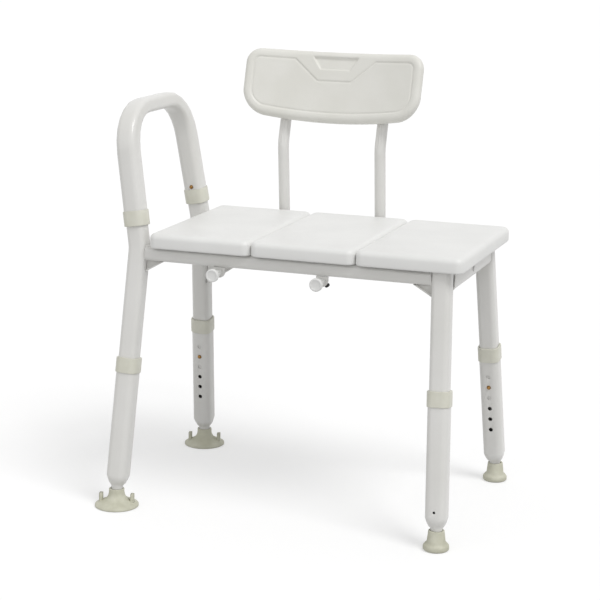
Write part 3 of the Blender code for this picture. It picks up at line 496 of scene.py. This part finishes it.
def trapezoidDistance(u, v, high, low, topHalf, bottomHalf):
    # below zero inside
    slope = (topHalf - bottomHalf) / (high - low)
    side = (np.abs(u) - (bottomHalf + slope * (v - low))) / math.hypot(1, slope)
    return np.maximum(np.maximum(side, low - v), v - high)


def makeBackrest():
    b = backrest
    half, thick = b["width"] / 2, b["thickness"] / 2
    us = (stationsAcross(b["width"], b["step"], b["edgeAcross"], b["edgeSteps"]) - 0.5) * b["width"]
    shares = stationsAcross(b["height"], b["step"], b["edgeUp"], b["edgeSteps"])
    u, share = np.meshgrid(us, shares, indexing="ij")
    top, bottom = edgeHeights(u)
    v = bottom + (top - bottom) * share
    flat = np.column_stack([u.ravel(), v.ravel()])
    dense = half * np.sin(np.linspace(-math.pi / 2, math.pi / 2, b["outlineSteps"]))
    topLine, bottomLine = edgeHeights(dense)
    loop = np.vstack([np.column_stack([dense, topLine]), np.column_stack([dense, bottomLine])[::-1]])
    toEdge = distanceToLoop(flat, loop)
    onRim = np.zeros(u.shape, bool)
    onRim[0, :] = onRim[-1, :] = onRim[:, 0] = onRim[:, -1] = True
    toEdge[onRim.ravel()] = 0

    def rounded(radius):
        inside = np.clip(radius - toEdge, 0, radius)
        return radius - np.sqrt(np.maximum(0, radius ** 2 - inside ** 2))

    slant = (b["tabTop"] - b["tabBottom"]) / (b["tabHigh"] - b["tabLow"])
    openHalf = b["tabBottom"] + (b["openTop"] - b["tabLow"]) * slant
    tab = trapezoidDistance(flat[:, 0], flat[:, 1], b["openTop"], b["tabLow"], openHalf, b["tabBottom"])
    field = np.minimum(toEdge - b["border"], tab)
    line = np.exp(-(field / b["lineWidth"]) ** 2) * b["lineDepth"]
    drop = smoothStep(-b["lineWidth"], b["lineWidth"], field) * b["fieldDrop"]
    grip = trapezoidDistance(flat[:, 0], flat[:, 1], b["gripHigh"], b["gripLow"],
                             b["gripTop"], b["gripBottom"])
    rise = np.clip((flat[:, 1] - b["gripLow"]) / (b["gripHigh"] - b["gripLow"]), 0, 1)
    ceiling = smoothStep(0, b["gripCeiling"], b["gripHigh"] - flat[:, 1])
    sunk = smoothStep(0, b["gripWall"], -grip) * b["gripDepth"] * ceiling
    sunk = sunk * (b["gripShallow"] + (1 - b["gripShallow"]) * rise)
    sag = b["sag"] * (flat[:, 0] / half) ** 2
    lean = math.radians(b["leanDeg"])
    up = np.array([0, math.sin(lean), math.cos(lean)])
    back = np.array([0, math.cos(lean), -math.sin(lean)])
    base = np.array(b["centre"]) + np.outer(flat[:, 0], [1, 0, 0]) + np.outer(flat[:, 1], up)
    front = base + np.outer(-thick + rounded(b["frontEdge"]) + line + drop + sunk - sag, back)
    rear = base + np.outer(thick - rounded(b["backEdge"]) - sag, back)
    rows, columns = u.shape
    count = rows * columns
    faces = []
    for i in range(rows - 1):
        for j in range(columns - 1):
            a = i * columns + j
            faces.append((a, a + columns, a + columns + 1, a + 1))
            faces.append((count + a, count + a + 1, count + a + columns + 1, count + a + columns))
    rim = [i * columns for i in range(rows)] + [(rows - 1) * columns + j for j in range(1, columns)]
    rim += [i * columns + columns - 1 for i in range(rows - 2, -1, -1)]
    rim += [j for j in range(columns - 2, 0, -1)]
    for a, c in zip(rim, rim[1:] + rim[:1]):
        faces.append((c, a, count + a, count + c))
    piece = meshPiece("backrest_shell", np.vstack([front, rear]), faces, finishes["warm_white_plastic"],
                      b["smoothAngle"])
    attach(piece, bodyOf["backrest_panel"])
    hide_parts("backrest_panel")


makeBackrest()
print("backrest made")


# backrest posts: bent tube with two creases pressed into the front
posts = {
    "x": {"left": -0.12020, "right": 0.07680}, "y": 0.188, "bottom": 0.4345, "firstBend": 0.505,
    "secondBend": 0.640, "top": 0.792, "forwardDeg": 4.5, "leanDeg": 17.0, "bendRadius": 0.060,
    "diameter": 0.0215, "sides": 48,
    "creaseLow": 0.638, "creaseHigh": 0.705, "creaseTurnDeg": 17.0, "creaseWidthDeg": 9.0,
    "creaseDepth": 0.0013, "creaseEase": 0.006, "step": 0.004, "bendSteps": 8,
    "capShare": 0.8, "capRise": 0.0012, "capCrown": 0.0016,
    "smoothAngle": 60,
}


def filletedPath(corners, radius, arcSteps, runStep):
    path = [corners[0]]

    def runTo(target):
        start = path[-1]
        count = max(1, round((target - start).length / runStep))
        for i in range(1, count + 1):
            path.append(start.lerp(target, i / count))

    for before, corner, after in zip(corners, corners[1:], corners[2:]):
        incoming = (corner - before).normalized()
        outgoing = (after - corner).normalized()
        turn = incoming.angle(outgoing)
        axis = incoming.cross(outgoing).normalized()
        start = corner - incoming * radius * math.tan(turn / 2)
        inward = axis.cross(incoming)
        runTo(start)
        for i in range(1, arcSteps + 1):
            spin = Matrix.Rotation(turn * i / arcSteps, 3, axis)
            path.append(start + inward * radius - (spin @ inward) * radius)
    runTo(corners[-1])
    return path


def makePost(sideName):
    p = posts
    x = p["x"][sideName]
    forward = math.tan(math.radians(p["forwardDeg"]))
    lean = math.tan(math.radians(p["leanDeg"]))
    first = Vector((x, p["y"], p["firstBend"]))
    second = first + Vector((0, -forward, 1)) * (p["secondBend"] - p["firstBend"])
    top = second + Vector((0, lean, 1)) * (p["top"] - p["secondBend"])
    path = filletedPath([Vector((x, p["y"], p["bottom"])), first, second, top], p["bendRadius"],
                        p["bendSteps"], p["step"])
    points = []
    for number, place in enumerate(path):
        ahead = path[min(number + 1, len(path) - 1)]
        behind = path[max(number - 1, 0)]
        along = (ahead - behind).normalized()
        across = Vector((1, 0, 0))
        front = across.cross(along).normalized()
        if front.y > 0:
            front = -front
        pressed = float(smoothStep(p["creaseLow"], p["creaseLow"] + p["creaseEase"], place.z)
                        * (1 - smoothStep(p["creaseHigh"] - p["creaseEase"], p["creaseHigh"], place.z)))
        for i in range(p["sides"]):
            angle = 2 * math.pi * i / p["sides"]
            degrees = math.degrees(math.atan2(math.sin(angle), math.cos(angle)))
            crease = sum(math.exp(-((degrees - s * p["creaseTurnDeg"]) / p["creaseWidthDeg"]) ** 2)
                         for s in (-1, 1))
            radius = p["diameter"] / 2 - p["creaseDepth"] * pressed * crease
            points.append(place + front * radius * math.cos(angle) + across * radius * math.sin(angle))
    sides, rings = p["sides"], len(path)
    faces = []
    for r in range(rings - 1):
        for i in range(sides):
            j = (i + 1) % sides
            faces.append((r * sides + i, (r + 1) * sides + i, (r + 1) * sides + j, r * sides + j))
    # a pressed-in cap closes the top end
    along = (path[-1] - path[-2]).normalized()
    lipStart = len(points)
    for i in range(sides):
        points.append(path[-1] + (points[(rings - 1) * sides + i] - path[-1]) * p["capShare"]
                      + along * p["capRise"])
    points.append(path[-1] + along * p["capCrown"])
    for i in range(sides):
        j = (i + 1) % sides
        faces.append(((rings - 1) * sides + i, lipStart + i, lipStart + j, (rings - 1) * sides + j))
        faces.append((lipStart + i, len(points) - 1, lipStart + j))
    faces.append(tuple(range(sides)))
    nodeName = sideName + "_backrest_post"
    piece = meshPiece(nodeName + "_tube", points, faces, finishes["white_paint"], p["smoothAngle"])
    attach(piece, bodyOf[nodeName])
    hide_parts(nodeName)


for sideName in posts["x"]:
    makePost(sideName)
print("posts made")


# floor, light and camera
studio = {"floorSize": 60.0, "floorDrop": 0.0004, "floorColour": "#C9C9C9", "floorGlow": 0.76,
          "floorPattern": 2.0, "floorRoughness": (0.85, 0.95),
          "worldColour": "#FFFFFF", "worldLevel": 0.62, "seenLevel": 1.0,
          "lampDistance": 4,
          # name, direction the light comes from, width of its disc in degrees, strength
          "lamps": (("keySoftbox", (0.62, -0.30, 1.0), 26.0, 1.35),
                    ("frontFill", (-0.25, -1.0, 0.35), 50.0, 0.22))}


def seenDirectly(tree):
    # 1 for the camera, a reflection or a view through glass, 0 for light that falls on the bench
    path = addNode(tree, "ShaderNodeLightPath")
    either = addNode(tree, "ShaderNodeMath", {"operation": "MAXIMUM"},
                     links={0: path.outputs["Is Camera Ray"], 1: path.outputs["Is Glossy Ray"]})
    seen = addNode(tree, "ShaderNodeMath", {"operation": "MAXIMUM"},
                   links={0: either.outputs["Value"], 1: path.outputs["Is Transmission Ray"]})
    return seen.outputs["Value"]


def makeStudio():
    s = studio
    half = s["floorSize"] / 2
    material, tree = emptyMaterial("paintedStudioFloor")
    place = addNode(tree, "ShaderNodeTexCoord")
    speck = addNode(tree, "ShaderNodeTexNoise", values={"Scale": s["floorPattern"]},
                    links={"Vector": place.outputs["Object"]})
    gloss = addNode(tree, "ShaderNodeMapRange",
                    values={"To Min": s["floorRoughness"][0], "To Max": s["floorRoughness"][1]},
                    links={"Value": speck.outputs["Fac"]})
    paint = addNode(tree, "ShaderNodeBsdfPrincipled",
                    values={"Base Color": linearColour(s["floorColour"]), "Specular IOR Level": 0.0,
                            "Emission Color": linearColour(s["floorColour"])},
                    links={"Roughness": gloss.outputs["Result"]})
    glow = addNode(tree, "ShaderNodeMath", {"operation": "MULTIPLY"}, {1: s["floorGlow"]},
                   {0: seenDirectly(tree)})
    tree.links.new(glow.outputs["Value"], paint.inputs["Emission Strength"])
    addNode(tree, "ShaderNodeOutputMaterial", links={"Surface": paint.outputs["BSDF"]})
    corners = [(-half, -half, 0), (half, -half, 0), (half, half, 0), (-half, half, 0)]
    floor = meshPiece("studio_floor", corners, [(0, 1, 2, 3)], material)
    floor.location.z = -s["floorDrop"]

    world = bpy.data.worlds.new("whiteStudio")
    bpy.context.scene.world = world
    world.use_nodes = True
    tree = world.node_tree
    tree.nodes.clear()
    level = addNode(tree, "ShaderNodeMapRange", values={"To Min": s["worldLevel"], "To Max": s["seenLevel"]},
                    links={"Value": seenDirectly(tree)})
    sky = addNode(tree, "ShaderNodeBackground", values={"Color": linearColour(s["worldColour"])},
                  links={"Strength": level.outputs["Result"]})
    addNode(tree, "ShaderNodeOutputWorld", links={"Surface": sky.outputs["Background"]})

    for name, comesFrom, widthDeg, strength in s["lamps"]:
        lamp = bpy.data.lights.new(name, "SUN")
        lamp.angle = math.radians(widthDeg)
        lamp.energy = strength
        holder = bpy.data.objects.new(name, lamp)
        holder.location = Vector(comesFrom).normalized() * s["lampDistance"]
        holder.rotation_mode = "QUATERNION"
        holder.rotation_quaternion = (-Vector(comesFrom)).to_track_quat("-Z", "Y")
        bpy.context.scene.collection.objects.link(holder)


cameraView = {"aim": (-0.01725, 0.0, 0.3735), "azimuthDeg": 20.028, "elevationDeg": 12.896, "rollDeg": 0.7,
              "distance": 3.41978, "lens": 109.76, "sensor": 36.0, "clipEnd": 100}


def makeCamera():
    c = cameraView
    azimuth, elevation, roll = (math.radians(c[k]) for k in ("azimuthDeg", "elevationDeg", "rollDeg"))
    back = Vector((math.sin(azimuth) * math.cos(elevation), -math.cos(azimuth) * math.cos(elevation),
                   math.sin(elevation)))
    right = Vector((math.cos(azimuth), math.sin(azimuth), 0))
    up = back.cross(right)
    turnedRight = right * math.cos(roll) + up * math.sin(roll)
    turnedUp = up * math.cos(roll) - right * math.sin(roll)
    lens = bpy.data.cameras.new("studioCamera")
    lens.lens = c["lens"]
    lens.sensor_width = c["sensor"]
    lens.clip_end = c["clipEnd"]
    holder = bpy.data.objects.new("studioCamera", lens)
    turn = Matrix((turnedRight, turnedUp, back)).transposed().to_4x4()
    holder.matrix_world = Matrix.Translation(Vector(c["aim"]) + back * c["distance"]) @ turn
    bpy.context.scene.collection.objects.link(holder)
    bpy.context.scene.camera = holder


makeStudio()
makeCamera()
bpy.context.scene.view_settings.view_transform = "Standard"
print("studio made")
